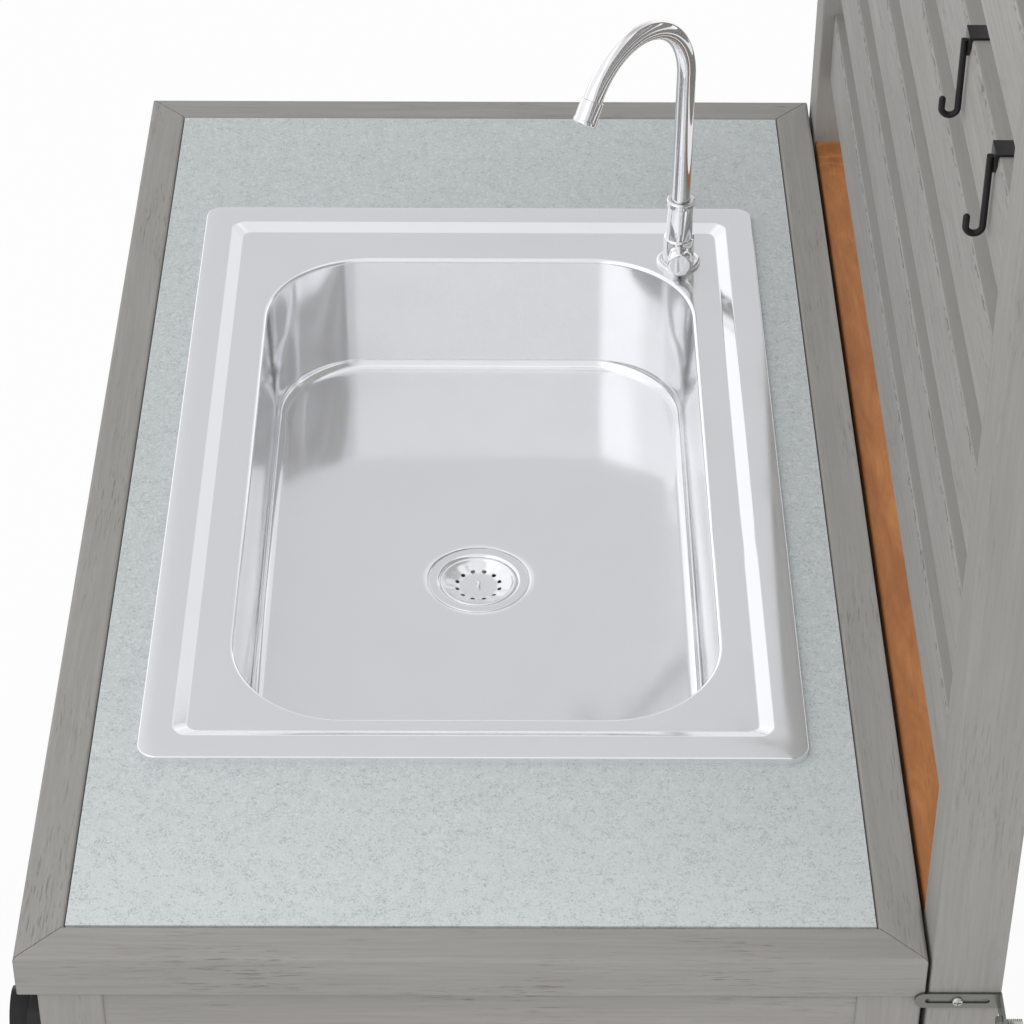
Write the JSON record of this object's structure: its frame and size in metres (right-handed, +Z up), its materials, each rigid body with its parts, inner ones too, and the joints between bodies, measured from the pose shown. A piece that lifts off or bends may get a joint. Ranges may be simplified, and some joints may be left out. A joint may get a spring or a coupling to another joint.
{
  "type": "outdoor sink table",
  "caption": "Grey wooden garden worktable with a pale speckled top, a drop-in steel sink, a gooseneck tap and a tall slatted back panel with hooks.",
  "frame": {"origin": "on the floor, under the middle of the whole object's bounding box", "axes": "+Z up, -Y towards the person at the sink, +Y towards the slatted panel and the wall, +X towards the table's near end in the picture"},
  "size_m": [1.165, 0.682, 1.6592],
  "materials": {
    "grey_wood": "grey-washed, matt",
    "cedar": "oiled",
    "countertop": "speckled, honed",
    "sink_steel": "satin",
    "chrome": "polished",
    "zinc": "zinc-plated",
    "black_iron": "black, satin",
    "brass": "plain",
    "rubber": "matt"
  },
  "bodies": {
    "table": {"leg_front_near": "grey_wood", "leg_front_far": "grey_wood", "leg_back_near": "grey_wood", "leg_back_far": "grey_wood", "floor_glides": "rubber", "apron_front": "grey_wood", "apron_back": "grey_wood", "apron_near": "grey_wood", "apron_far": "grey_wood", "edging_front": "grey_wood", "edging_back": "grey_wood", "edging_near": "grey_wood", "edging_far": "grey_wood", "countertop": "countertop", "counter_battens": "grey_wood", "shelf_rail_front": "grey_wood", "shelf_rail_back": "grey_wood", "shelf_rail_near": "grey_wood", "shelf_rail_far": "grey_wood", "shelf_boards": "grey_wood", "sink_bowl": "sink_steel", "sink_seal": "rubber", "sink_clips": "zinc", "clip_screws": "zinc", "drain_cup": "sink_steel", "drain_gasket": "rubber", "drain_locknut": "zinc", "tailpiece": "chrome", "tailpiece_nut": "chrome", "tap_flange": "chrome", "tap_body": "chrome", "tap_cartridge": "brass", "tap_shank": "brass", "tap_washer": "rubber", "tap_backnut": "brass", "panel_post_near": "grey_wood", "panel_post_far": "grey_wood", "slat_1": "grey_wood", "slat_2": "grey_wood", "slat_3": "grey_wood", "slat_4": "grey_wood", "slat_5": "grey_wood", "slat_6": "grey_wood", "slat_7": "grey_wood", "cedar_rail": "cedar", "foot_rail": "grey_wood", "tie_bolts": "zinc", "tie_spacers": "zinc", "wall_brackets": "zinc", "bracket_screws": "zinc", "bottle_opener": "black_iron", "opener_screws": "zinc"},
    "spout": {"spout": "chrome", "aerator": "chrome"},
    "knob": {"tap_knob": "chrome", "tap_spindle": "brass"},
    "strainer": {"strainer_basket": "sink_steel", "strainer_pin": "sink_steel"},
    "hook_near": {"hook_near": "black_iron"},
    "hook_far": {"hook_far": "black_iron"}
  },
  "joints": [
    {"name": "spout_swivel", "type": "hinge", "parent": "table", "child": "spout", "pos_m": [-0.2825, 0.14595, 1], "axis": [0, 0, 1], "continuous": true},
    {"name": "tap_turn", "type": "hinge", "parent": "table", "child": "knob", "pos_m": [-0.2825, 0.14595, 0.9305], "axis": [1, 0, 0], "range_deg": [0, 90]},
    {"name": "strainer_lift", "type": "slide", "parent": "table", "child": "strainer", "axis": [0, 0, 1], "range_m": [0, 0.08]},
    {"name": "hook_near_lift", "type": "slide", "parent": "table", "child": "hook_near", "axis": [0, 0, 1], "range_m": [0, 0.03]},
    {"name": "hook_far_lift", "type": "slide", "parent": "table", "child": "hook_far", "axis": [0, 0, 1], "range_m": [0, 0.03]}
  ]
}
